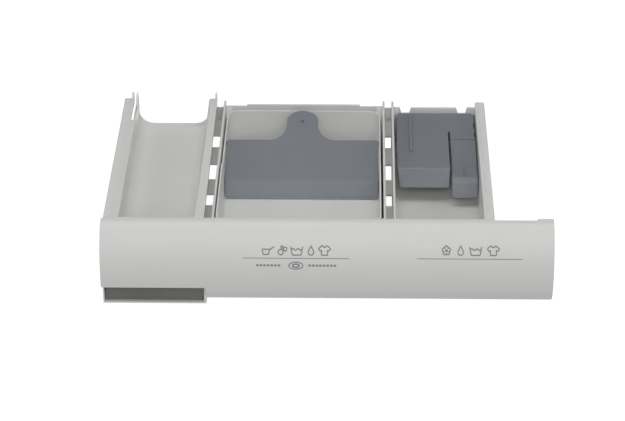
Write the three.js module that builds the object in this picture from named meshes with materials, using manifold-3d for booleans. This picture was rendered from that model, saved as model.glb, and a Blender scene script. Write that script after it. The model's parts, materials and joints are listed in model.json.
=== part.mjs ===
// Detergent dispenser drawer of a front-load washing machine.
// Lengths are millimetres. +X is right, +Y is back (into the machine), +Z is up.
//
// The drawer is drawn from the top front edge of its fascia, which is where every
// level and depth is measured from. The last group sets it down on its base, so the
// exported origin is the bottom centre of the bounding box.

import * as THREE from 'three';
import { mergeVertices } from 'three/addons/utils/BufferGeometryUtils.js';
import Module from 'manifold-3d';

// ---------------------------------------------------------------- driving dimensions

const FASCIA_WIDTH = 335;
const FASCIA_FACE_HEIGHT = 47;      // bulged main face, down to where it starts to curl under
const FASCIA_HEIGHT = 59;           // down to the bottom edge
const FASCIA_BULGE = 17;            // how far the face stands in front of its top edge
const BULGE_LEVEL = -36;            // level of the foremost point
const FASCIA_CURL = { y: -14.2, z: -53.3 };  // where the tangents of the curled lower edge meet
const FASCIA_BOTTOM_Y = -9.5;
const FASCIA_CREASE = { top: 3.4, face: 4.6 };  // how far the rounding of the top edge reaches
const FASCIA_SKIN = 2.4;
const FASCIA_BACK = 6;              // back edge of the fascia's top strip
const RIB_PLACES = [-88.3, -45, 0, 45, 90, 130];
const END_TAB = { length: 12, depth: 2.6, drop: 22 };

const TRAY_FRONT = 6.3;
const FRONT_WALL = 1.4;
const TRAY_REAR = 196;              // outside of the bays' rear walls
const TROUGH_REAR = 199;            // the trough and its rims run on a little further
const RIGHT_RIM_REAR = 194.5;
const TRAY_LEFT = -166.2;
const TRAY_RIGHT = 124.1;
const WALL = 1.8;
const FLANGE = 1.8;                 // thickness of the horizontal rims
const SKIRT = 9;                    // depth of the skirts along the outer rims
const BASE_LEVEL = -66;             // underside of the grip and of the runners

const TROUGH = { left: -154.6, right: -98, corner: 11, rearFloor: -26.5, frontFloor: -30 };
const TROUGH_LIP = -22.2;           // weir that closes the trough's rear end
const TROUGH_RIM_EDGE = -91.1;      // the trough's right rim overhangs the first channel
const TROUGH_RIM_LIP = 3.4;         // depth of the lip along that edge
const RIM_SLOT = { left: -158.2, right: -156.4, front: 162 };
const RIM_RIDGE = { inset: 5.2, width: 0.8, height: 0.5, setback: 8 };
const DETERGENT = { left: -83.8, right: 42, floor: -42.6, corner: 6 };
const SOFTENER = { left: 51, right: 116.3, floor: -36, corner: 6 };
const CHANNEL_FLOOR = -17;          // floor of the two window channels
const CHANNEL_THICK = 1.6;
const CHANNEL_REAR_TOP = -5.9;
const CHANNELS = [
  { left: TROUGH.right + WALL, right: DETERGENT.left - WALL },
  { left: DETERGENT.right + WALL, right: SOFTENER.left - WALL },
];
const WINDOWS = [[55.6, 73.4], [95.9, 121], [148.1, 168.1]];
const WINDOW_INSET = 0.2;
const DETERGENT_REAR_TOP = -2.9;    // rear wall of the detergent bay, lower at its two shoulders
const SHOULDERS = { left: -67, right: 24, top: -4.6 };
const SOFTENER_REAR_TOP = -5.1;
const NOTCHES = { spans: [[56.1, 65.1], [101.5, 110.2]], floor: -10.1, slant: 1.4 };
const FIN = { height: 5.4, width: 1.5, length: 14, crest: 2 };  // fins over the rear ends of the rims
const RUNNERS = [
  { x: -62, bay: DETERGENT },
  { x: -4, bay: DETERGENT },
  { x: 61, bay: SOFTENER },
  { x: 104, bay: SOFTENER },
];
const RUNNER = { front: 50, heel: 66, web: 2.4, shoe: 8, shoeThick: 1.8 };

const CUP = { left: -82.8, right: 40.4, front: 8.9, rear: 191.6, top: -1.2, wall: 1.2, corner: 10 };
const CUP_FLOOR = -38.6;
const CUP_STEP = { front: 92, back: 99, level: -6.5 };  // the rim steps down towards the rear
const FINGER_NOTCH = { left: -22.9, right: -10.3, depth: 2 };

const FLAP_AXIS = { y: 148.5, z: -13.2 };
const FLAP = { left: -81.1, right: 38.7, reach: 42.9, slope: 17, lip: 14.5, thick: 1.6, rise: 1.8 };
const LIP_SLANT = 15;               // degrees: how far every front lip leans out at its foot
const LIP_BEAD = { height: 1.8, depth: 0.6 };
const TAB = { x: -21.7, radius: 12.4, centre: 22.2, flareWidth: 13.5, flareDepth: 18 };
const FLAP_BACK = 1.6;              // how far the plate runs on behind its pivot axis
const FLAP_CORNER = 2;
const PIN_RADIUS = 1.4;
const PIN_REACH = 1;                // how far the pins stand out of the plate's ends
const RUNNING_GAP = 0.35;

const CAP = {
  left: 53.5, right: 93.9, wideRight: 115.4, front: 101, rear: 192.3, top: -9, thick: 1.6, skirt: 7,
};
const CAP_LIP = { bottom: -24.2, leftTaper: 1.9, rightTaper: 0.6, chamfer: 1 };
const CAP_SLIT_END = 161.7;
const CAP_CLIPS = [[152.3, 158.8], [167.5, 175]];   // recesses in the cap's right edge
const CAP_RIB = { x: 64.4, width: 2.4, front: 127, rear: 187.5, height: 1.5 };
const SIPHON = { x: 72, y: 148, postRadius: 5, sleeveRadius: 9, postTop: -14 };

const TONGUE_AXIS = { y: 147, z: -9.8 };
const TONGUE = { left: 95.6, right: 115.3, reach: 55, drop: 4.2, lipBottom: -28.1, thick: 1.6, brow: 4 };

const GRIP = { left: -167.2, right: -89.9, front: -7, back: 6, top: -47.3 };
const GRIP_WALLS = { side: 1.1, end: 1.9, floor: 1.5, back: 1.2 };
const INSERT = { foot: -4.8, bend: -3.6, bendLevel: -55, head: -1.8, top: -42.4, thick: 2 };
const INSERT_SPINES = { places: [-150, -129, -108], width: 2, top: -52 };
const FIXED_GAP = 0.3;              // between pieces that are fixed to each other

const SCREWS = [[-140, -37], [-106, -37], [62, -51.5], [106, -51.5]];
const SCREW = { headRadius: 3.1, headHeight: 2.1, shankRadius: 1.4, length: 9 };
const SCREW_SEAT = TRAY_FRONT + FRONT_WALL + RUNNING_GAP;
const BOSS_RADIUS = 3.8;

const RIGHT = FASCIA_WIDTH / 2;
const LEFT = -RIGHT;
const FAR = 400;                    // reach of a cutter that must clear everything

// ---------------------------------------------------------------- solid modelling

const wasm = await Module();
wasm.setup();

function solid(geometry) {
  const bare = geometry.clone();
  bare.deleteAttribute('normal');
  bare.deleteAttribute('uv');
  const merged = mergeVertices(bare, 1e-4);
  return new wasm.Manifold(new wasm.Mesh({
    numProp: 3,
    vertProperties: new Float32Array(merged.attributes.position.array),
    triVerts: new Uint32Array(merged.index.array),
  }));
}

function join(solids) {
  return solids.reduce((sum, next) => sum.add(next));
}

function cut(body, tools) {
  return tools.reduce((left, tool) => left.subtract(tool), body);
}

function block(x0, x1, y0, y1, z0, z1) {
  const box = new THREE.BoxGeometry(x1 - x0, y1 - y0, z1 - z0);
  return solid(box.translate((x0 + x1) / 2, (y0 + y1) / 2, (z0 + z1) / 2));
}

function extrude(shape, depth, steps) {
  return new THREE.ExtrudeGeometry(shape, { depth, bevelEnabled: false, curveSegments: steps });
}

// A shape in (Y, Z), run along X.
function alongX(shape, x0, x1, steps = 8) {
  const turn = new THREE.Matrix4().makeBasis(
    new THREE.Vector3(0, 1, 0), new THREE.Vector3(0, 0, 1), new THREE.Vector3(1, 0, 0));
  return solid(extrude(shape, x1 - x0, steps).applyMatrix4(turn).translate(x0, 0, 0));
}

// A shape in (X, Z), run along Y.
function alongY(shape, y0, y1, steps = 8) {
  return solid(extrude(shape, y1 - y0, steps).rotateX(Math.PI / 2).translate(0, y1, 0));
}

// A shape in (X, Y), run along Z.
function alongZ(shape, z0, z1, steps = 8) {
  return solid(extrude(shape, z1 - z0, steps).translate(0, 0, z0));
}

function polygon(points) {
  return new THREE.Shape(points.map(([u, v]) => new THREE.Vector2(u, v)));
}

// A rectangle whose four corners may each have their own radius: lower left first,
// then counter-clockwise.
function roundedRect(u0, u1, v0, v1, radii) {
  const [a, b, c, d] = radii;
  const shape = new THREE.Shape();
  shape.moveTo(u0 + a, v0);
  shape.lineTo(u1 - b, v0);
  if (b > 0) shape.absarc(u1 - b, v0 + b, b, -Math.PI / 2, 0, false);
  shape.lineTo(u1, v1 - c);
  if (c > 0) shape.absarc(u1 - c, v1 - c, c, 0, Math.PI / 2, false);
  shape.lineTo(u0 + d, v1);
  if (d > 0) shape.absarc(u0 + d, v1 - d, d, Math.PI / 2, Math.PI, false);
  shape.lineTo(u0, v0 + a);
  if (a > 0) shape.absarc(u0 + a, v0 + a, a, Math.PI, Math.PI * 1.5, false);
  return shape;
}

// A round bar along Y.
function barY(x, z, radius, y0, y1, sides = 20) {
  const bar = new THREE.CylinderGeometry(radius, radius, y1 - y0, sides);
  return solid(bar.translate(x, (y0 + y1) / 2, z));
}

// A round bar along X.
function barX(y, z, radius, x0, x1, sides = 20) {
  const bar = new THREE.CylinderGeometry(radius, radius, x1 - x0, sides);
  return solid(bar.rotateZ(Math.PI / 2).translate((x0 + x1) / 2, y, z));
}

// A round bar along Z.
function barZ(x, y, radius, z0, z1, sides = 20) {
  const bar = new THREE.CylinderGeometry(radius, radius, z1 - z0, sides);
  return solid(bar.rotateX(Math.PI / 2).translate(x, y, (z0 + z1) / 2));
}

function sheared(body, risePerY, fromY) {
  const shear = new THREE.Matrix4().set(
    1, 0, 0, 0,
    0, 1, 0, 0,
    0, risePerY, 1, -risePerY * fromY,
    0, 0, 0, 1);
  return body.transform(shear.toArray());
}

function mesh(name, body, look) {
  const { numProp, vertProperties, triVerts } = body.getMesh();
  const points = [];
  for (let i = 0; i < vertProperties.length; i += numProp) {
    points.push(vertProperties[i], vertProperties[i + 1], vertProperties[i + 2]);
  }
  const geometry = new THREE.BufferGeometry();
  geometry.setAttribute('position', new THREE.Float32BufferAttribute(points, 3));
  geometry.setIndex([...triVerts]);
  geometry.computeVertexNormals();
  const result = new THREE.Mesh(geometry, look);
  result.name = name;
  return result;
}

// ---------------------------------------------------------------- materials

const trayPlastic = new THREE.MeshStandardMaterial({ color: 0xc9c9c7, roughness: 0.5 });
const fasciaPlastic = new THREE.MeshStandardMaterial({ color: 0xcfcfcd, roughness: 0.45 });
const cupPlastic = new THREE.MeshStandardMaterial({ color: 0xd2d2d0, roughness: 0.45 });
const slatePlastic = new THREE.MeshStandardMaterial({ color: 0x71757a, roughness: 0.5 });
const gripPlastic = new THREE.MeshStandardMaterial({ color: 0x5f5d58, roughness: 0.7 });
const screwSteel = new THREE.MeshStandardMaterial({ color: 0xb4b4b2, roughness: 0.35, metalness: 1 });

// ---------------------------------------------------------------- fascia

// The bulged face is one arc through the top edge and the foremost point.
const FACE_RADIUS = (FASCIA_BULGE ** 2 + BULGE_LEVEL ** 2) / (2 * FASCIA_BULGE);
const FACE_CENTRE_Y = FACE_RADIUS - FASCIA_BULGE;

function fasciaSection(inset) {
  const radius = FACE_RADIUS - inset;
  const topZ = -inset;
  const topAngle = Math.PI - Math.asin((topZ - BULGE_LEVEL) / radius);
  const topY = FACE_CENTRE_Y + radius * Math.cos(topAngle);
  const faceAngle = topAngle + FASCIA_CREASE.face / radius;
  const curlAngle = Math.PI + Math.asin((FASCIA_FACE_HEIGHT + BULGE_LEVEL) / radius);
  const shape = new THREE.Shape();
  shape.moveTo(FASCIA_BACK, topZ);
  shape.lineTo(topY + FASCIA_CREASE.top, topZ);
  shape.quadraticCurveTo(topY, topZ, FACE_CENTRE_Y + radius * Math.cos(faceAngle),
    BULGE_LEVEL + radius * Math.sin(faceAngle));
  shape.absarc(FACE_CENTRE_Y, BULGE_LEVEL, radius, faceAngle, curlAngle, false);
  shape.quadraticCurveTo(FASCIA_CURL.y + inset, FASCIA_CURL.z,
    FASCIA_BOTTOM_Y + inset, -FASCIA_HEIGHT + inset);
  shape.lineTo(FASCIA_BACK, -FASCIA_HEIGHT + inset);
  return shape;
}

function fasciaRib(x) {
  return alongX(fasciaSection(FASCIA_SKIN / 2), x - 0.8, x + 0.8, 6);
}

function fasciaPanel() {
  const outside = alongX(fasciaSection(0), LEFT, RIGHT, 14);
  const hollow = alongX(fasciaSection(FASCIA_SKIN), LEFT + FASCIA_SKIN, RIGHT - FASCIA_SKIN, 10);
  const backOpening = block(LEFT + FASCIA_SKIN, RIGHT - FASCIA_SKIN, FASCIA_BACK - FASCIA_SKIN, FAR,
    -FASCIA_HEIGHT + FASCIA_SKIN, -FASCIA_SKIN);
  const shell = cut(outside, [hollow, backOpening]);
  const bossLimit = alongX(fasciaSection(FASCIA_SKIN / 2), LEFT + 1, RIGHT - 1, 10);
  const bosses = SCREWS.map(([x, z]) =>
    barY(x, z, BOSS_RADIUS, -FASCIA_BULGE, FASCIA_BACK).intersect(bossLimit));
  const pilots = SCREWS.map(([x, z]) =>
    barY(x, z, SCREW.shankRadius + RUNNING_GAP, SCREW_SEAT - SCREW.length - 0.5, FASCIA_BACK + 1));
  const endTab = block(RIGHT - END_TAB.length, RIGHT, FASCIA_BACK - FASCIA_SKIN,
    FASCIA_BACK + END_TAB.depth, -END_TAB.drop, 0);
  const gripCut = block(LEFT - 1, GRIP.right + FIXED_GAP, -FAR, FAR, -FAR, -FASCIA_FACE_HEIGHT);
  return cut(join([shell, ...RIB_PLACES.map(fasciaRib), ...bosses, endTab]), [...pilots, gripCut]);
}

// ---------------------------------------------------------------- grip

// Frame of the finger recess: end walls, bottom lip and back, open to the front.
function gripPocket() {
  const { left, right, front, back, top } = GRIP;
  const body = block(left, right, front, back, BASE_LEVEL, top);
  const recess = block(left + GRIP_WALLS.side, right - GRIP_WALLS.end, front - 1, back - GRIP_WALLS.back,
    BASE_LEVEL + GRIP_WALLS.floor, top + 1);
  const lipRound = polygon([[front - 1, BASE_LEVEL - 1], [front + 1.2, BASE_LEVEL - 1],
    [front - 1, BASE_LEVEL + 1.2]]);
  return cut(body, [recess, alongX(lipRound, left - 1, right + 1)]);
}

// Dark liner: an upright face that leans back at the top, behind the fingers.
function gripInsert() {
  const bottom = BASE_LEVEL + GRIP_WALLS.floor + FIXED_GAP;
  const { foot, bend, bendLevel, head, top, thick } = INSERT;
  const profile = polygon([[foot, bottom], [foot + thick, bottom], [bend + thick, bendLevel],
    [head + thick, top], [head, top], [bend, bendLevel]]);
  const right = GRIP.right - GRIP_WALLS.end - FIXED_GAP;
  const belowFascia = block(-FAR, FAR, -FAR, FAR, -FAR, GRIP.top - FIXED_GAP);
  const plate = join([
    alongX(profile, GRIP.left + GRIP_WALLS.side + FIXED_GAP, right).intersect(belowFascia),
    alongX(profile, LEFT + FASCIA_SKIN + FIXED_GAP, right),
  ]);
  const spineBack = GRIP.back - GRIP_WALLS.back - FIXED_GAP;
  const reach = INSERT_SPINES.width / 2;
  const spines = INSERT_SPINES.places.map((x) =>
    block(x - reach, x + reach, foot + thick, spineBack, bottom, INSERT_SPINES.top));
  return join([plate, ...spines]);
}

// ---------------------------------------------------------------- drawer tray

function troughSection(grow, floor) {
  const corner = TROUGH.corner + grow;
  return roundedRect(TROUGH.left - grow, TROUGH.right + grow, floor - grow, 40, [corner, corner, 0, 0]);
}

function troughRun(grow, floor, y0, y1) {
  return alongY(troughSection(grow, floor), y0, y1, 12);
}

// The trough's floor falls towards the front.
function troughSlope(body) {
  return sheared(body, (TROUGH.rearFloor - TROUGH.frontFloor) / (TROUGH_REAR - TRAY_FRONT), TROUGH_REAR);
}

function troughParts() {
  const belowRims = block(-FAR, FAR, -FAR, FAR, -FAR, 0);
  const shell = troughSlope(troughRun(WALL, TROUGH.rearFloor, TRAY_FRONT, TROUGH_REAR));
  const space = troughSlope(troughRun(0, TROUGH.rearFloor, TRAY_FRONT + FRONT_WALL, TROUGH_REAR - WALL));
  const mouth = troughRun(0, TROUGH_LIP, TROUGH_REAR - WALL - 1, TROUGH_REAR + 1);
  return { shell: shell.intersect(belowRims), cutters: [space, mouth] };
}

function bayParts(bay) {
  const shell = block(bay.left - WALL, bay.right + WALL, TRAY_FRONT, TRAY_REAR, bay.floor - WALL, 0);
  const space = alongZ(roundedRect(bay.left, bay.right, TRAY_FRONT + FRONT_WALL, TRAY_REAR - WALL,
    [2, 2, bay.corner, bay.corner]), bay.floor, FAR, 8);
  return { shell, space };
}

// The floor and the rear wall run into the walls at both sides.
function channelParts({ left, right }) {
  const bottom = CHANNEL_FLOOR - CHANNEL_THICK;
  const floor = block(left - 2.4, right + 0.8, TRAY_FRONT, TRAY_REAR, bottom, CHANNEL_FLOOR);
  const rear = block(left - 0.8, right + 0.8, TRAY_REAR - WALL, TRAY_REAR, bottom, CHANNEL_REAR_TOP);
  const windows = WINDOWS.map(([y0, y1]) =>
    block(left + WINDOW_INSET, right - WINDOW_INSET, y0, y1, bottom - 1, CHANNEL_FLOOR + 1));
  return { solid: join([floor, rear]), windows };
}

// Thin fin that stands over the rear end of a rim and rises towards the back.
function rearFin(x0) {
  const front = TROUGH_REAR - FIN.length;
  const root = -FLANGE - 1;
  const outline = polygon([[front, root], [TROUGH_REAR, root], [TROUGH_REAR, FIN.height],
    [TROUGH_REAR - FIN.crest, FIN.height], [front, 0]]);
  return alongX(outline, x0, x0 + FIN.width);
}

function rims() {
  const slot = block(RIM_SLOT.left, RIM_SLOT.right, RIM_SLOT.front, FAR, -FAR, FAR);
  const leftRim = block(TRAY_LEFT, TROUGH.left, TRAY_FRONT, TROUGH_REAR, -FLANGE, 0);
  const ridgeLeft = TRAY_RIGHT - RIM_RIDGE.inset;
  return [
    leftRim.subtract(slot),
    block(TRAY_LEFT, TRAY_LEFT + WALL, TRAY_FRONT, TROUGH_REAR, -SKIRT, 0),
    block(TROUGH.right, TROUGH_RIM_EDGE, TRAY_FRONT, TROUGH_REAR, -FLANGE, 0),
    block(TROUGH_RIM_EDGE - FIN.width, TROUGH_RIM_EDGE, TRAY_FRONT, TROUGH_REAR, -TROUGH_RIM_LIP, 0),
    block(SOFTENER.right, TRAY_RIGHT, TRAY_FRONT, RIGHT_RIM_REAR, -FLANGE, 0),
    block(TRAY_RIGHT - WALL, TRAY_RIGHT, TRAY_FRONT, RIGHT_RIM_REAR, -SKIRT, 0),
    block(ridgeLeft, ridgeLeft + RIM_RIDGE.width, TRAY_FRONT + RIM_RIDGE.setback, RIGHT_RIM_REAR,
      -FLANGE, RIM_RIDGE.height),
  ];
}

// The runners under the bays carry the drawer level with the bottom of its grip.
function runner({ x, bay }) {
  const { front, heel, web, shoe, shoeThick } = RUNNER;
  const under = bay.floor - WALL / 2;
  const outline = polygon([[front, under], [TRAY_REAR, under], [TRAY_REAR, BASE_LEVEL], [heel, BASE_LEVEL]]);
  const plate = alongX(outline, x - web / 2, x + web / 2);
  const foot = block(x - shoe / 2, x + shoe / 2, heel - 2, TRAY_REAR, BASE_LEVEL, BASE_LEVEL + shoeThick);
  return join([plate, foot]);
}

// The rear walls are lower than the side walls, and the softener bay's has two notches.
function rearWallCuts() {
  const y0 = TRAY_REAR - 13;
  const y1 = TRAY_REAR + 1;
  const lowered = (x0, x1, level) => block(x0, x1, y0, y1, level, 1);
  const notch = ([low, high]) => alongY(polygon([
    [low + NOTCHES.slant, NOTCHES.floor], [high - NOTCHES.slant, NOTCHES.floor],
    [high, SOFTENER_REAR_TOP], [high, 2], [low, 2], [low, SOFTENER_REAR_TOP]]), y0, y1);
  return [
    lowered(DETERGENT.left, DETERGENT.right, DETERGENT_REAR_TOP),
    lowered(DETERGENT.left, SHOULDERS.left, SHOULDERS.top),
    lowered(SHOULDERS.right, DETERGENT.right, SHOULDERS.top),
    lowered(SOFTENER.left, SOFTENER.right, SOFTENER_REAR_TOP),
    block(SOFTENER.right - 1, FAR, RIGHT_RIM_REAR, FAR, SOFTENER_REAR_TOP, 1),
    ...NOTCHES.spans.map(notch),
  ];
}

function siphonPost() {
  return barZ(SIPHON.x, SIPHON.y, SIPHON.postRadius, SOFTENER.floor - 1, SIPHON.postTop);
}

function drawerTray() {
  const trough = troughParts();
  const bays = [DETERGENT, SOFTENER].map(bayParts);
  const channels = CHANNELS.map(channelParts);
  const frontWall = block(TRAY_LEFT, TRAY_RIGHT, TRAY_FRONT, TRAY_FRONT + FRONT_WALL, -FASCIA_HEIGHT + 1, 0);
  const shell = join([
    trough.shell, frontWall, ...bays.map((bay) => bay.shell), ...rims(),
    ...channels.map((channel) => channel.solid), ...RUNNERS.map(runner),
  ]);
  const hollowed = cut(shell, [
    ...trough.cutters, ...bays.map((bay) => bay.space),
    ...channels.flatMap((channel) => channel.windows), ...rearWallCuts(),
  ]);
  const fins = [RIM_SLOT.left - FIN.width, RIM_SLOT.right, TROUGH_RIM_EDGE - FIN.width].map(rearFin);
  const drain = barZ(SIPHON.x, SIPHON.y, SIPHON.postRadius - 1.5, -FAR, FAR);
  const holes = SCREWS.map(([x, z]) => barY(x, z, SCREW.shankRadius + RUNNING_GAP, 0, 20));
  return cut(join([hollowed, siphonPost(), ...fins]), [drain, ...holes]);
}

// ---------------------------------------------------------------- detergent cup and flap

function detergentCup() {
  const { left, right, front, rear, top, wall, corner } = CUP;
  const body = alongZ(roundedRect(left, right, front, rear, [4, 4, corner, corner]),
    CUP_FLOOR - wall, top, 8);
  const inner = corner - wall;
  const space = alongZ(roundedRect(left + wall, right - wall, front + wall, rear - wall,
    [4 - wall, 4 - wall, inner, inner]), CUP_FLOOR, FAR, 8);
  const step = polygon([[CUP_STEP.front, top], [CUP_STEP.back, CUP_STEP.level], [FAR, CUP_STEP.level],
    [FAR, 8], [CUP_STEP.front, 8]]);
  const fingerNotch = alongY(roundedRect(FINGER_NOTCH.left, FINGER_NOTCH.right,
    top - FINGER_NOTCH.depth, 8, [1.5, 1.5, 0, 0]), 0, front + wall + 1, 4);
  const bearing = (x) => barX(FLAP_AXIS.y, FLAP_AXIS.z, PIN_RADIUS + RUNNING_GAP, x - 1, x + wall + 1);
  return cut(body, [space, fingerNotch, alongX(step, -FAR, FAR), bearing(left), bearing(right - wall)]);
}

function flapOutline() {
  const { left, right, reach } = FLAP;
  const flareEnd = FLAP_BACK + TAB.flareDepth;
  const tabLeft = TAB.x - TAB.radius;
  const tabRight = TAB.x + TAB.radius;
  const outline = new THREE.Shape();
  outline.moveTo(left, -reach);
  outline.lineTo(right, -reach);
  outline.lineTo(right, FLAP_BACK - FLAP_CORNER);
  outline.absarc(right - FLAP_CORNER, FLAP_BACK - FLAP_CORNER, FLAP_CORNER, 0, Math.PI / 2, false);
  outline.lineTo(tabRight + TAB.flareWidth, FLAP_BACK);
  outline.absellipse(tabRight + TAB.flareWidth, flareEnd, TAB.flareWidth, TAB.flareDepth,
    Math.PI * 1.5, Math.PI, true);
  outline.lineTo(tabRight, TAB.centre);
  outline.absarc(TAB.x, TAB.centre, TAB.radius, 0, Math.PI, false);
  outline.lineTo(tabLeft, flareEnd);
  outline.absellipse(tabLeft - TAB.flareWidth, flareEnd, TAB.flareWidth, TAB.flareDepth,
    0, -Math.PI / 2, true);
  outline.lineTo(left + FLAP_CORNER, FLAP_BACK);
  outline.absarc(left + FLAP_CORNER, FLAP_BACK - FLAP_CORNER, FLAP_CORNER, Math.PI / 2, Math.PI, false);
  return outline;
}

// The front lip hangs from the plate's edge and has a bead along its foot.
function flapLip() {
  const { left, right, reach, slope, lip, thick, rise } = FLAP;
  const lean = THREE.MathUtils.degToRad(slope + LIP_SLANT);
  const at = (down, out) => [
    -reach - Math.sin(lean) * down - Math.cos(lean) * out,
    rise - Math.cos(lean) * down + Math.sin(lean) * out,
  ];
  const section = polygon([at(0, 0), at(lip - LIP_BEAD.height, 0),
    at(lip - LIP_BEAD.height * 0.6, LIP_BEAD.depth), at(lip, LIP_BEAD.depth),
    at(lip, -thick), [-reach + thick, rise - thick], [-reach + thick, rise]]);
  const lowest = at(lip, -thick)[1];
  const rounding = alongY(roundedRect(left, right, lowest, 5, [4, 4, 0, 0]), -FAR, FAR, 6);
  return alongX(section, left, right).intersect(rounding);
}

// Drawn about the pivot axis with the plate level; the mesh is then turned to its slope.
function detergentFlap() {
  const { left, right, thick, rise } = FLAP;
  const plate = alongZ(flapOutline(), rise - thick, rise, 14);
  const pins = [
    barX(0, 0, PIN_RADIUS, left - PIN_REACH, left + 4),
    barX(0, 0, PIN_RADIUS, right - 4, right + PIN_REACH),
  ];
  const collar = barZ(TAB.x, TAB.centre, 2, rise - 0.5, rise + 0.4, 16);
  const hole = barZ(TAB.x, TAB.centre, 1.1, -FAR, FAR, 12);
  return join([plate, flapLip(), ...pins, collar]).subtract(hole);
}

// ---------------------------------------------------------------- siphon cap and tongue

// How far a lip's foot stands in front of its head, for its height.
function lipReach(height) {
  return height * Math.tan(THREE.MathUtils.degToRad(LIP_SLANT));
}

function siphonCap() {
  const { left, right, wideRight, front, rear, top, thick, skirt } = CAP;
  const slitShoulder = CAP_SLIT_END - 1;
  const tongueRoot = TONGUE_AXIS.y + 2.2;
  const outline = polygon([
    [left, front], [right, front], [right, slitShoulder], [(right + TONGUE.left) / 2, CAP_SLIT_END],
    [TONGUE.left, slitShoulder], [TONGUE.left, tongueRoot], [wideRight, tongueRoot],
    [wideRight, rear - 2], [wideRight - 2, rear], [left + 2, rear], [left, rear - 2]]);
  const { bottom, leftTaper, rightTaper, chamfer } = CAP_LIP;
  const lipFront = polygon([[left, top], [left + leftTaper, bottom + chamfer],
    [left + leftTaper + chamfer, bottom], [right - rightTaper - chamfer, bottom],
    [right - rightTaper, bottom + chamfer], [right, top]]);
  const foot = front - lipReach(top - bottom);
  const lipSection = polygon([[front, top], [foot, bottom], [foot + thick, bottom],
    [front + thick, top - thick / 2], [front + thick, top]]);
  const rib = block(CAP_RIB.x - CAP_RIB.width / 2, CAP_RIB.x + CAP_RIB.width / 2, CAP_RIB.front,
    CAP_RIB.rear, top - 0.2, top + CAP_RIB.height);
  const sleeve = barZ(SIPHON.x, SIPHON.y, SIPHON.sleeveRadius, SOFTENER.floor + 4, top - 0.5, 24);
  const bore = barZ(SIPHON.x, SIPHON.y, SIPHON.sleeveRadius - 1.4, -FAR, top - thick, 24);
  const clips = CAP_CLIPS.map(([y0, y1]) => block(wideRight - 1, FAR, y0, y1, -FAR, FAR));
  return cut(join([
    alongZ(outline, top - thick, top),
    alongX(lipSection, left, right).intersect(alongY(lipFront, foot - 1, front + 2 * thick)),
    block(right - thick, right, front, slitShoulder - 1, top - skirt, top),
    block(wideRight - thick, wideRight, tongueRoot, rear - 4, top - skirt, top),
    rib, sleeve.subtract(bore),
  ]), clips);
}

// The tongue's section: a sloping plate that turns down into its lip in a soft brow.
function tongueSection() {
  const { reach, drop, lipBottom, thick, brow } = TONGUE;
  const crease = { y: -0.4, z: 0.8 };
  const slope = (crease.z + drop) / (crease.y + reach);
  const lipZ = lipBottom - TONGUE_AXIS.z;
  const footY = -reach - lipReach(-drop - lipZ);
  const browFootY = -reach - lipReach(brow);
  const section = new THREE.Shape();
  section.moveTo(1.2, 0.6);
  section.lineTo(crease.y, crease.z);
  section.lineTo(brow - reach, slope * brow - drop);
  section.quadraticCurveTo(-reach, -drop, browFootY, -drop - brow);
  section.lineTo(footY, lipZ);
  section.lineTo(footY + thick, lipZ);
  section.lineTo(browFootY + thick, -drop - brow);
  section.lineTo(brow - reach, -drop - thick);
  section.lineTo(crease.y, crease.z - thick);
  section.lineTo(1.2, 0.6 - thick);
  return section;
}

// Drawn about the crease that the tongue bends at.
function releaseTongue() {
  const { left, right, reach, drop, lipBottom, brow } = TONGUE;
  const outline = roundedRect(left, right, lipBottom - TONGUE_AXIS.z, 5, [3, 3.5, 0, 0]);
  const rounding = alongY(outline, -FAR, FAR, 5);
  const stiffener = block(left + 9, left + 10.4, brow - reach, -4, -drop - 4, -2);
  return join([alongX(tongueSection(), left, right, 5).intersect(rounding), stiffener]);
}

// ---------------------------------------------------------------- fasteners

// Pan-head screw, driven forwards: the origin is the underside of the head.
function screwGeometry() {
  const { headRadius, headHeight, shankRadius, length } = SCREW;
  const profile = new THREE.Path();
  profile.moveTo(0, -length);
  profile.lineTo(shankRadius * 0.5, -length);
  profile.lineTo(shankRadius, -length + 2);
  profile.lineTo(shankRadius, 0);
  profile.lineTo(headRadius, 0);
  profile.lineTo(headRadius, headHeight * 0.4);
  profile.quadraticCurveTo(headRadius, headHeight, headRadius * 0.4, headHeight);
  profile.lineTo(0, headHeight);
  return new THREE.LatheGeometry(profile.getPoints(4), 20);
}

function screwBody() {
  const recess = [0, 1].map((turn) => {
    const bar = new THREE.BoxGeometry(3.4, 2.4, 0.7);
    return solid(bar.rotateY(turn * Math.PI / 2).translate(0, SCREW.headHeight, 0));
  });
  return cut(solid(screwGeometry()), recess);
}

// ---------------------------------------------------------------- assembly

const drawer = new THREE.Group();
drawer.add(mesh('drawer_tray', drawerTray(), trayPlastic));
drawer.add(mesh('fascia_panel', fasciaPanel(), fasciaPlastic));
drawer.add(mesh('grip_pocket', gripPocket(), fasciaPlastic));
drawer.add(mesh('grip_insert', gripInsert(), gripPlastic));
drawer.add(mesh('detergent_cup', detergentCup(), cupPlastic));

const flap = mesh('detergent_flap', detergentFlap(), slatePlastic);
flap.position.set(0, FLAP_AXIS.y, FLAP_AXIS.z);
flap.rotation.x = THREE.MathUtils.degToRad(FLAP.slope);
drawer.add(flap);

drawer.add(mesh('siphon_cap', siphonCap(), slatePlastic));

const tongue = mesh('release_tongue', releaseTongue(), slatePlastic);
tongue.position.set(0, TONGUE_AXIS.y, TONGUE_AXIS.z);
drawer.add(tongue);

SCREWS.forEach(([x, z], index) => {
  const screw = mesh(`fascia_screw_${index + 1}`, screwBody(), screwSteel);
  screw.position.set(x, SCREW_SEAT, z);
  drawer.add(screw);
});

drawer.position.set(0, -(TROUGH_REAR - FASCIA_BULGE) / 2, -BASE_LEVEL);

const group = new THREE.Group();
group.add(drawer);

export default group;
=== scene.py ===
# Looks of the detergent dispenser drawer: finished meshes, plastics, print, light and camera.
import json
import math

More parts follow.
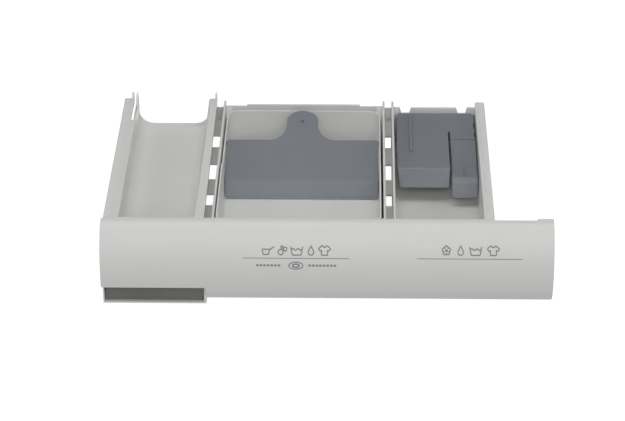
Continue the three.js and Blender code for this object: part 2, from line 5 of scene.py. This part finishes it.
import bmesh
import bpy
from mathutils import Matrix, Vector
from mathutils.bvhtree import BVHTree


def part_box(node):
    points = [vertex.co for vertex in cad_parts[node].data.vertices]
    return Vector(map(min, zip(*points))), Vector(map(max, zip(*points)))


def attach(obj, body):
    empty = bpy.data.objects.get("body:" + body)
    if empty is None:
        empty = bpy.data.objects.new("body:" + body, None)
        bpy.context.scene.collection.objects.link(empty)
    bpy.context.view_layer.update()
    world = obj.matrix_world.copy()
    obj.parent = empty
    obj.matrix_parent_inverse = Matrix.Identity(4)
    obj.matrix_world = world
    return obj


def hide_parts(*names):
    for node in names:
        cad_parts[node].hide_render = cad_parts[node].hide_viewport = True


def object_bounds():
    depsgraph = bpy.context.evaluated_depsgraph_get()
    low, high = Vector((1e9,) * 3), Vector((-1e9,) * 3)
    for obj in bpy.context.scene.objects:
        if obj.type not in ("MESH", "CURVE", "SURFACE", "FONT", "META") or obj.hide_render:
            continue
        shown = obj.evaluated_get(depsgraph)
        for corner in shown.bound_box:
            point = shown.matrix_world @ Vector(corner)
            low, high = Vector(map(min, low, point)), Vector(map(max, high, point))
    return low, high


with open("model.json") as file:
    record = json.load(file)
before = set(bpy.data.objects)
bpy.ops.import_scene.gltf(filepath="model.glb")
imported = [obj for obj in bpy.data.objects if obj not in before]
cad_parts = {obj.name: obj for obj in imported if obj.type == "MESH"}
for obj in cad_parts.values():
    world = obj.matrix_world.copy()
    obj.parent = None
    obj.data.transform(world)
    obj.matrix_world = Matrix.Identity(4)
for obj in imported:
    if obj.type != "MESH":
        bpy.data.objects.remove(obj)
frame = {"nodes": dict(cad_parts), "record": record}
CAD_BOX = [list(corner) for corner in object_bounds()]

MM = 0.001
BULGE = 17 * MM                                         # how far the fascia stands past its top edge
RIM_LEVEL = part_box("fascia_panel")[1].z                 # the fascia's top and the tray's rims
FRONT_EDGE_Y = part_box("fascia_panel")[0].y + BULGE
LEVEL_TOLERANCE = 0.05 * MM


# ---------------------------------------------------------------- node materials

def new_node(tree, kind, values):
    """A shader node with its inputs filled in."""
    node = tree.nodes.new(kind)
    for key, value in values.items():
        node.inputs[key].default_value = value
    return node


def noise(tree, coords, scale, detail):
    node = new_node(tree, "ShaderNodeTexNoise", {"Scale": scale, "Detail": detail, "Roughness": 0.5})
    tree.links.new(coords, node.inputs["Vector"])
    return node.outputs["Fac"]


def remap(tree, value, low, high, to_low, to_high):
    ends = {"From Min": low, "From Max": high, "To Min": to_low, "To Max": to_high}
    node = new_node(tree, "ShaderNodeMapRange", ends)
    tree.links.new(value, node.inputs["Value"])
    return node.outputs["Result"]


FACTOR, FIRST_COLOUR, SECOND_COLOUR = 0, 6, 7           # sockets of a colour Mix node
MIXED_COLOUR = 2


def mix_colour(tree, factor, first, second):
    """Mixes two colours, each a tuple or a socket."""
    node = tree.nodes.new("ShaderNodeMix")
    node.data_type = "RGBA"
    for socket, entry in ((FIRST_COLOUR, first), (SECOND_COLOUR, second)):
        if isinstance(entry, tuple):
            node.inputs[socket].default_value = (*entry, 1.0)
        else:
            tree.links.new(entry, node.inputs[socket])
    tree.links.new(factor, node.inputs[FACTOR])
    return node.outputs[MIXED_COLOUR]


def bump(tree, height, strength, distance):
    node = new_node(tree, "ShaderNodeBump", {"Strength": strength, "Distance": distance})
    tree.links.new(height, node.inputs["Height"])
    return node.outputs["Normal"]


def new_material(name):
    """A node material, with its tree, its shader and the coordinates for its textures."""
    material = bpy.data.materials.new(name)
    material.use_nodes = True
    tree = material.node_tree
    coords = tree.nodes.new("ShaderNodeTexCoord").outputs["Object"]
    return material, tree, tree.nodes["Principled BSDF"], coords


FLOW_SCALE = 14         # mottling left by the flow of the plastic in the mould
TOUCH_SCALE = 38        # patches that handling has polished
PLASTIC_IOR = 1.49


def moulded_plastic(name, colour, shade, rough, grain, grain_depth, edge_highlight_strength):
    """Injection-moulded plastic: spark-eroded grain, faint flow mottling, and sharp edges painted lighter
    as a painted highlight.
    """
    material, tree, shader, coords = new_material(name)
    flow = remap(tree, noise(tree, coords, FLOW_SCALE, 4), 0.35, 0.65, 0.0, 1.0)
    body = mix_colour(tree, flow, colour, shade)
    # Painted highlight: sharp edges, found by pointiness, are painted lighter in the base colour
    edges = tree.nodes.new("ShaderNodeNewGeometry").outputs["Pointiness"]
    edge_highlight_mask = remap(tree, edges, 0.52, 0.62, 0.0, edge_highlight_strength)
    edge_highlight_colour = tuple(min(1.0, c * 1.12 + 0.02) for c in colour)
    tree.links.new(mix_colour(tree, edge_highlight_mask, body, edge_highlight_colour), shader.inputs["Base Color"])
    touched = remap(tree, noise(tree, coords, TOUCH_SCALE, 5), 0.3, 0.7, rough - 0.05, rough + 0.07)
    tree.links.new(touched, shader.inputs["Roughness"])
    shader.inputs["IOR"].default_value = PLASTIC_IOR
    grained = bump(tree, noise(tree, coords, grain, 2), 0.35, grain_depth * MM)
    tree.links.new(grained, shader.inputs["Normal"])
    return material


def screw_steel():
    """Zinc-plated steel with a mottled patina."""
    material, tree, shader, coords = new_material("screw_steel")
    shader.inputs["Metallic"].default_value = 1.0
    patina = remap(tree, noise(tree, coords, 300, 4), 0.3, 0.7, 0.0, 1.0)
    zinc = mix_colour(tree, patina, (0.58, 0.58, 0.56), (0.42, 0.41, 0.38))
    tree.links.new(zinc, shader.inputs["Base Color"])
    tree.links.new(remap(tree, patina, 0.0, 1.0, 0.28, 0.45), shader.inputs["Roughness"])
    tree.links.new(bump(tree, noise(tree, coords, 1500, 2), 0.3, 0.05 * MM), shader.inputs["Normal"])
    return material


# The last argument of each sets how much sharp edges are painted lighter: a painted highlight
TRAY = moulded_plastic("tray_plastic", (0.80, 0.80, 0.78), (0.785, 0.785, 0.765),
                       rough=0.38, grain=2600, grain_depth=0.04, edge_highlight_strength=0.5)
FASCIA = moulded_plastic("fascia_plastic", (0.80, 0.80, 0.78), (0.79, 0.79, 0.77),
                         rough=0.50, grain=3200, grain_depth=0.06, edge_highlight_strength=0.4)
CUP = moulded_plastic("cup_plastic", (0.84, 0.84, 0.825), (0.825, 0.825, 0.81),
                      rough=0.38, grain=2600, grain_depth=0.03, edge_highlight_strength=0.5)
SLATE = moulded_plastic("slate_plastic", (0.220, 0.236, 0.262), (0.211, 0.227, 0.253),
                        rough=0.42, grain=2800, grain_depth=0.05, edge_highlight_strength=0.15)
# A paler copy of the slate for lip fronts: painted light, with a smoother finish
SLATE_LIP_PAINTED_PALER = moulded_plastic("slate_lip_painted_paler", (0.272, 0.292, 0.320), (0.262, 0.281, 0.309),
                            rough=0.34, grain=2800, grain_depth=0.03, edge_highlight_strength=0.15)
GRIP = moulded_plastic("grip_plastic", (0.165, 0.162, 0.149), (0.154, 0.151, 0.138),
                       rough=0.60, grain=1800, grain_depth=0.10, edge_highlight_strength=0.3)
INK = moulded_plastic("print_ink", (0.235, 0.24, 0.245), (0.26, 0.265, 0.27),
                      rough=0.55, grain=4000, grain_depth=0.02, edge_highlight_strength=0.1)
STEEL = screw_steel()


# ---------------------------------------------------------------- mesh work

WELD = 0.004 * MM       # corners closer than this are one
FLAT = math.cos(math.radians(0.3))
MERGE_ANGLE = math.radians(0.4)
SMOOTH_ANGLE = math.radians(35)


def drop_flat_corners(solid):
    """Takes out the corners that lie within a flat face, so that no sliver runs from one to an edge."""
    for corner in list(solid.verts):
        around = corner.link_faces
        if all(around[0].normal.dot(face.normal) > FLAT for face in around):
            bmesh.utils.vert_dissolve(corner)


def merged_solid(node, drop_corners=False):
    """A CAD node's solid as a bmesh, its flat faces in one piece each."""
    solid = bmesh.new()
    solid.from_mesh(frame["nodes"][node].data)
    bmesh.ops.remove_doubles(solid, verts=solid.verts, dist=WELD)
    if drop_corners:
        drop_flat_corners(solid)
    bmesh.ops.dissolve_limit(solid, angle_limit=MERGE_ANGLE, verts=solid.verts, edges=solid.edges)
    return solid


def sharp_edges(solid, least_angle=30):
    limit = math.radians(least_angle)
    return [e for e in solid.edges if len(e.link_faces) == 2 and e.calc_face_angle(0.0) > limit]


def rounded(solid, radius, chosen, segments=3, least_angle=30):
    """Rounds the sharp edges that pass the test, but not where a short edge beside one leaves no room."""
    room = radius * MM
    edges = {edge for edge in sharp_edges(solid, least_angle) if chosen(edge)}
    cramped = edges
    while cramped:
        cramped = {edge for edge in edges if any(
            other not in edges and other.calc_length() < room
            for corner in edge.verts for other in corner.link_edges)}
        edges -= cramped
    bmesh.ops.bevel(solid, geom=list(edges), offset=room, offset_type="OFFSET", segments=segments,
                    profile=0.5, affect="EDGES", clamp_overlap=False)


def at_level(edge, level):
    return all(abs(corner.co.z - level) < LEVEL_TOLERANCE for corner in edge.verts)


def middle(edge):
    return (edge.verts[0].co + edge.verts[1].co) / 2


def runs(edge, axis):
    """True if an edge runs along the X axis (0) or the Y axis (1)."""
    along = edge.verts[1].co - edge.verts[0].co
    return abs(along[axis]) > 0.95 * along.length


def longer(edge, length):
    return edge.calc_length() > length * MM


def beside(x, places, reach):
    return min(abs(x - place) for place in places) < reach


FLOOR_AREA = 0.003      # square metres; a smaller upward face isn't the floor of a bay


def floor_corner(edge):
    """True for a hollow edge round the floor of a bay."""
    return not edge.is_convex and any(
        face.normal.z > 0.99 and face.calc_area() > FLOOR_AREA for face in edge.link_faces)


def finished(solid, name, node, body, material):
    """The piece that stands for a CAD node."""
    mesh = bpy.data.meshes.new(name)
    solid.to_mesh(mesh)
    solid.free()
    mesh.shade_smooth()
    mesh.set_sharp_from_angle(angle=SMOOTH_ANGLE)
    piece = bpy.data.objects.new(name, mesh)
    bpy.context.scene.collection.objects.link(piece)
    piece.data.materials.append(material)
    weighted = piece.modifiers.new("face_weighted_normals", "WEIGHTED_NORMAL")
    weighted.keep_sharp = True
    weighted.weight = 100
    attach(piece, body)
    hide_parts(node)
    return piece


# ---------------------------------------------------------------- the mouldings
# Radii and lengths are in millimetres.

TRAY_RADII = {"trough_rim": 1.5, "outer_rim": 1.0, "floor": 1.8, "rims": 0.5, "long_edges": 0.45}
FASCIA_RADII = {"ends": 0.7, "long_edges": 0.6}
CUP_RADII = {"floor": 2.4, "edges": 0.35}
SLATE_RADII = {"brow": 1.0, "edges": 0.4}
GRIP_RADIUS = 0.4


def opening(name):
    """Lowest and highest corner of one of the record's openings."""
    for entry in frame["record"]["physics"]["openings"]:
        if entry["name"] == name:
            return [Vector(corner) for corner in entry["box_m"]]


def tray_moulding():
    solid = merged_solid("drawer_tray")
    trough = [corner.x for corner in opening("left_trough")]
    sides = [corner.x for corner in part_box("drawer_tray")]

    def rim(edge):
        return at_level(edge, RIM_LEVEL) and runs(edge, 1)

    def trough_rim(edge):
        x = middle(edge).x
        within = trough[0] - 5 * MM < x < trough[1] + 5 * MM
        return edge.is_convex and rim(edge) and within and beside(x, trough, 8 * MM)

    def outer_rim(edge):
        return rim(edge) and beside(middle(edge).x, sides, LEVEL_TOLERANCE)

    rounded(solid, TRAY_RADII["trough_rim"], trough_rim, segments=5)
    rounded(solid, TRAY_RADII["outer_rim"], outer_rim, segments=4)
    rounded(solid, TRAY_RADII["floor"], floor_corner, segments=4)
    rounded(solid, TRAY_RADII["rims"], lambda edge: edge.is_convex and at_level(edge, RIM_LEVEL),
            least_angle=60)
    rounded(solid, TRAY_RADII["long_edges"], lambda edge: edge.is_convex and longer(edge, 26),
            least_angle=60)
    finished(solid, "tray_moulding", "drawer_tray", "drawer", TRAY)


def fascia_moulding():
    solid = merged_solid("fascia_panel")
    ends = [corner.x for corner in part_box("fascia_panel")]

    def end_profile(edge):
        return edge.is_convex and all(
            beside(corner.co.x, ends, LEVEL_TOLERANCE) for corner in edge.verts)

    rounded(solid, FASCIA_RADII["ends"], end_profile)
    rounded(solid, FASCIA_RADII["long_edges"], lambda edge: edge.is_convex and longer(edge, 60),
            least_angle=45)
    finished(solid, "fascia_moulding", "fascia_panel", "drawer", FASCIA)


def grip_mouldings():
    for node, name, slot, material in (("grip_pocket", "grip_frame", "fascia", FASCIA),
                                       ("grip_insert", "grip_liner", "grip", GRIP)):
        solid = merged_solid(node)
        rounded(solid, GRIP_RADIUS, lambda edge: edge.is_convex and longer(edge, 1.1), least_angle=40)
        finished(solid, name, node, "drawer", material)


def cup_moulding():
    solid = merged_solid("detergent_cup")
    rounded(solid, CUP_RADII["floor"], floor_corner, segments=4)
    rounded(solid, CUP_RADII["edges"], lambda edge: edge.is_convex, least_angle=50)
    finished(solid, "cup_moulding", "detergent_cup", "cup", CUP)


BROW_DEPTH = 4          # the brow lies within this of a plate's foremost edge
LIP_FACING = -0.9       # a lip's front faces forward; it is smoother than the plate and painted paler, as painted light
LIP_AREA = 0.0001       # square metres


def brow(solid, least_length):
    """The long edge where a plate turns down into its front lip: the foremost of the highest ones."""
    across = [edge for edge in sharp_edges(solid) if runs(edge, 0) and longer(edge, least_length)]
    front = min(edge.verts[0].co.y for edge in across)
    near = [edge for edge in across if edge.verts[0].co.y < front + BROW_DEPTH * MM]
    return max(near, key=lambda edge: edge.verts[0].co.z)


def lipped_moulding(node, name, body, least_length=None):
    """A slate plate with a lip; the brow of a long one is rounded here, the tongue's has its own curve."""
    solid = merged_solid(node, drop_corners=True)
    if least_length:
        edge = brow(solid, least_length)
        rounded(solid, SLATE_RADII["brow"], lambda other: other is edge, segments=6)
    rounded(solid, SLATE_RADII["edges"], lambda other: other.is_convex and longer(other, 1.5),
            least_angle=50)
    # Lip fronts take the paler copy of the slate: painted light
    for face in solid.faces:
        if face.normal.y < LIP_FACING and face.calc_area() > LIP_AREA:
            face.material_index = 1
    piece = finished(solid, name, node, body, SLATE)
    piece.data.materials.append(SLATE_LIP_PAINTED_PALER)


def steel_screws():
    for number in range(1, 5):
        screw = frame["nodes"][f"fascia_screw_{number}"]
        screw.data.materials.clear()
        screw.data.materials.append(STEEL)


# ---------------------------------------------------------------- print on the fascia
# Places are millimetres across from the fascia's middle and down from its top edge.

FILM = 0.05 * MM        # how far the ink stands out of the face, and reaches into it
STEP = 1.0              # longest straight bit of a stroke
IN_FRONT = 0.1          # metres before the drawer, where the search for the face starts
CLOSED = 0.01           # a line whose ends are closer than this is a loop


def on_face(face, x, level):
    """The point of the fascia's face at this place, and its normal."""
    start = Vector((x * MM, CAD_BOX[0][1] - IN_FRONT, RIM_LEVEL - level * MM))
    place, normal, _, _ = face.ray_cast(start, Vector((0, 1, 0)))
    return place, normal


def resampled(points):
    """The same line with no bit longer than a step."""
    line = [points[0]]
    for start, end in zip(points, points[1:]):
        count = max(1, math.ceil(math.dist(start, end) / STEP))
        line += [tuple(a + (b - a) * i / count for a, b in zip(start, end)) for i in range(1, count + 1)]
    return line


def ink_ring(solid, face, point, aside):
    """The ribbon's four corners at one point: two over the face and two under it."""
    corners = []
    for side, lift in ((1, FILM), (-1, FILM), (-1, -FILM), (1, -FILM)):
        across, down = point + aside * side
        place, normal = on_face(face, across, down)
        corners.append(solid.verts.new(place + normal * lift))
    return corners


def stroke(solid, face, points, width):
    """A closed ribbon of ink on the face, along a line of points."""
    line = [Vector(point) for point in resampled(points)]
    loop = (line[0] - line[-1]).length < CLOSED
    if loop:
        line.pop()
    rings = []
    for index, point in enumerate(line):
        before = line[index - 1] if index or loop else point
        after = line[(index + 1) % len(line)] if index < len(line) - 1 or loop else point
        along = (after - before).normalized()
        rings.append(ink_ring(solid, face, point, Vector((-along.y, along.x)) * width / 2))
    pairs = list(zip(rings, rings[1:])) + ([(rings[-1], rings[0])] if loop else [])
    for first, second in pairs:
        for i in range(4):
            solid.faces.new((first[i], first[i - 1], second[i - 1], second[i]))
    if not loop:
        solid.faces.new(rings[0])
        solid.faces.new(list(reversed(rings[-1])))


def arc(x, y, radius, start, end, squash=1.0):
    """Points of an arc, in degrees, in steps of 15 or less."""
    count = max(2, math.ceil(abs(end - start) / 15))
    angles = [math.radians(start + (end - start) * i / count) for i in range(count + 1)]
    return [(x + radius * math.cos(a), y + radius * squash * math.sin(a)) for a in angles]


# The lines of each pictogram, one unit high and round its own middle.

def wash_tub():
    """A tub with a wave of water in it."""
    half = 0.72
    tub = [(-half, -0.42), (-half * 0.72, 0.5), (half * 0.72, 0.5), (half, -0.42)]
    wave = [(half * 0.86 * (i / 6 - 1), -0.12 - 0.09 * math.sin(i * math.pi / 3)) for i in range(13)]
    return [tub, wave]


def scoop():
    """A measuring scoop with a straight handle."""
    bowl = [(-0.62, -0.12), (-0.5, 0.45), (0.12, 0.45), (0.24, -0.12), (-0.62, -0.12)]
    handle = [(0.24, -0.05), (0.78, -0.4)]
    return [bowl, handle]


def shirt():
    """A short-sleeved shirt, laid flat."""
    right = [(0.16, -0.5), (0.34, -0.5), (0.72, -0.2), (0.52, 0.06), (0.36, -0.06), (0.36, 0.5)]
    outline = right + [(-u, v) for u, v in reversed(right)]
    return [outline, arc(0, -0.5, 0.16, 180, 0)]


def flower():
    """Five petals round a centre."""
    petals = []
    for turn in range(5):
        heading = 72 * turn - 90
        towards = math.radians(heading)
        petals.append(arc(0.3 * math.cos(towards), 0.3 * math.sin(towards), 0.2,
                          heading - 120, heading + 120))
    return petals + [arc(0, 0, 0.1, 0, 360)]


def droplet():
    """A drop with its point up."""
    tip = (0, -0.52)
    return [[tip] + arc(0, 0.18, 0.32, -30, 210) + [tip]]


def bubbles():
    """Three bubbles of different sizes."""
    return [arc(-0.2, 0.18, 0.3, 0, 360), arc(0.32, -0.14, 0.2, 0, 360), arc(-0.06, -0.36, 0.12, 0, 360)]


GLYPH = 6.2             # height of the pictograms
BOLD, THIN = 0.85, 0.5
RULES = ((-61.5, 16.5, 21.4), (66.5, 144.3, 21.2))      # start, end and level
SIGNS = ((scoop, -43.5, 16), (bubbles, -32.5, 16), (wash_tub, -22, 16), (droplet, -11.5, 16),
         (shirt, -1.5, 16), (flower, 88, 15.5), (droplet, 98.5, 15.5), (wash_tub, 109.5, 15.5),
         (shirt, 122.5, 15.5))
DASH = {"rows": ((-51.9, -31.5), (-13.4, 8.5)), "level": 26.7, "length": 1.9, "gap": 0.75, "width": 1.5}
LOZENGE = {"x": -22.6, "level": 26.9}
LOZENGE_LINES = ((5.2, 0.52, 0.8), (2.4, 0.5, 1.1))     # half width, squash and thickness


def dashes(start, end):
    """A row of short level marks."""
    pitch = DASH["length"] + DASH["gap"]
    count = int((end - start + DASH["gap"]) / pitch)
    level = DASH["level"]
    return [[(start + i * pitch, level), (start + i * pitch + DASH["length"], level)]
            for i in range(count)]


def fascia_print():
    """Rules under two rows of care pictograms, and a dashed line with a lozenge under the first."""
    face = BVHTree.FromBMesh(merged_solid("fascia_panel"))
    solid = bmesh.new()
    for start, end, level in RULES:
        stroke(solid, face, [(start, level), (end, level)], THIN)
    for sign, x, level in SIGNS:
        for line in sign():
            stroke(solid, face, [(x + u * GLYPH, level + v * GLYPH) for u, v in line], BOLD)
    for row in DASH["rows"]:
        for line in dashes(*row):
            stroke(solid, face, line, DASH["width"])
    for half_width, squash, thickness in LOZENGE_LINES:
        oval = arc(LOZENGE["x"], LOZENGE["level"], half_width, 0, 360, squash)
        stroke(solid, face, oval, thickness)
    bmesh.ops.recalc_face_normals(solid, faces=solid.faces)
    mesh = bpy.data.meshes.new("fascia_print")
    solid.to_mesh(mesh)
    solid.free()
    print_film = bpy.data.objects.new("fascia_print", mesh)
    bpy.context.scene.collection.objects.link(print_film)
    mesh.materials.append(INK)
    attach(print_film, "drawer")


# ---------------------------------------------------------------- studio
# Lengths are in metres, powers in watts.

FLOOR_SIZE = 8
FLOOR_DROP = 0.0005     # the floor lies this much under the drawer
FLOOR_GLOW = 0.85
SKY = ((0.0, 0.36), (0.5, 0.33), (1.0, 0.16))           # brightness straight down, level and overhead
AIM = (0, 0, 0.03)
LIGHTS = (              # name, place, size and power
    ("front", (0.1, -1.80, 1.10), 1.2, 12.6),
    ("overhead", (0.0, 0.10, 2.10), 1.3, 10.2),
    ("left_fill", (-1.5, -0.3, 1.2), 0.9, 3.6),
    ("right_fill", (1.5, -0.3, 1.2), 0.9, 3.2),
)


def pale_floor():
    """A white sweep, lit enough by itself to stay white under the drawer."""
    material = bpy.data.materials.new("pale_floor")
    material.use_nodes = True
    shader = material.node_tree.nodes["Principled BSDF"]
    shader.inputs["Base Color"].default_value = (0.5, 0.5, 0.5, 1)
    shader.inputs["Roughness"].default_value = 0.9
    shader.inputs["Emission Color"].default_value = (1, 1, 1, 1)
    shader.inputs["Emission Strength"].default_value = FLOOR_GLOW
    bpy.ops.mesh.primitive_plane_add(size=FLOOR_SIZE, location=(0, 0, CAD_BOX[0][2] - FLOOR_DROP))
    floor = bpy.context.object
    floor.name = "floor"
    floor.data.materials.append(material)
    floor.visible_diffuse = False


def area_light(name, place, size, power):
    lamp = bpy.data.lights.new(name, "AREA")
    lamp.shape = "DISK"
    lamp.size = size
    lamp.energy = power
    light = bpy.data.objects.new(name, lamp)
    light.location = place
    light.rotation_euler = (Vector(AIM) - Vector(place)).to_track_quat("-Z", "Y").to_euler()
    bpy.context.scene.collection.objects.link(light)


def sky():
    """A soft room, brightest below, where a white floor would be, and dimmest overhead."""
    world = bpy.data.worlds.new("studio")
    world.use_nodes = True
    tree = world.node_tree
    coords = tree.nodes.new("ShaderNodeTexCoord").outputs["Generated"]
    split = tree.nodes.new("ShaderNodeSeparateXYZ")
    tree.links.new(coords, split.inputs["Vector"])
    height = remap(tree, split.outputs["Z"], -1.0, 1.0, 0.0, 1.0)
    ramp = tree.nodes.new("ShaderNodeValToRGB")
    stops = ramp.color_ramp.elements
    stops.new(SKY[1][0])
    for stop, (place, level) in zip(stops, SKY):
        stop.position = place
        stop.color = (level, level, level, 1)
    tree.links.new(height, ramp.inputs["Fac"])
    tree.links.new(ramp.outputs["Color"], tree.nodes["Background"].inputs["Color"])
    bpy.context.scene.world = world


def studio():
    sky()
    for name, place, size, power in LIGHTS:
        area_light(name, place, size, power)


EYE = Vector((0.0232, -1.5305, 0.8947))     # from the middle of the fascia's top front edge
TURN, TILT, LEAN = 1.26, 60, -0.3           # degrees: to the left, up from straight down, and roll
LENS, SENSOR = 138.7, 36                    # millimetres


def camera():
    """Looks down at 30 degrees, a little from the right, with a slight lean."""
    data = bpy.data.cameras.new("camera")
    data.sensor_width = SENSOR
    data.lens = LENS
    eye = bpy.data.objects.new("camera", data)
    turn = Matrix.Rotation(math.radians(TURN), 4, "Z")
    tilt = Matrix.Rotation(math.radians(TILT), 4, "X")
    lean = Matrix.Rotation(math.radians(LEAN), 4, "Z")
    eye.location = Vector((0, FRONT_EDGE_Y, RIM_LEVEL)) + EYE
    eye.rotation_euler = (turn @ tilt @ lean).to_euler()
    bpy.context.scene.collection.objects.link(eye)
    bpy.context.scene.camera = eye


# ---------------------------------------------------------------- scene

bpy.context.scene.view_settings.view_transform = "Standard"
camera()
pale_floor()
studio()
tray_moulding()
fascia_moulding()
grip_mouldings()
cup_moulding()
lipped_moulding("detergent_flap", "flap_moulding", "flap", 100)
lipped_moulding("siphon_cap", "cap_moulding", "cap", 38)
lipped_moulding("release_tongue", "tongue_moulding", "tongue")
steel_screws()
fascia_print()
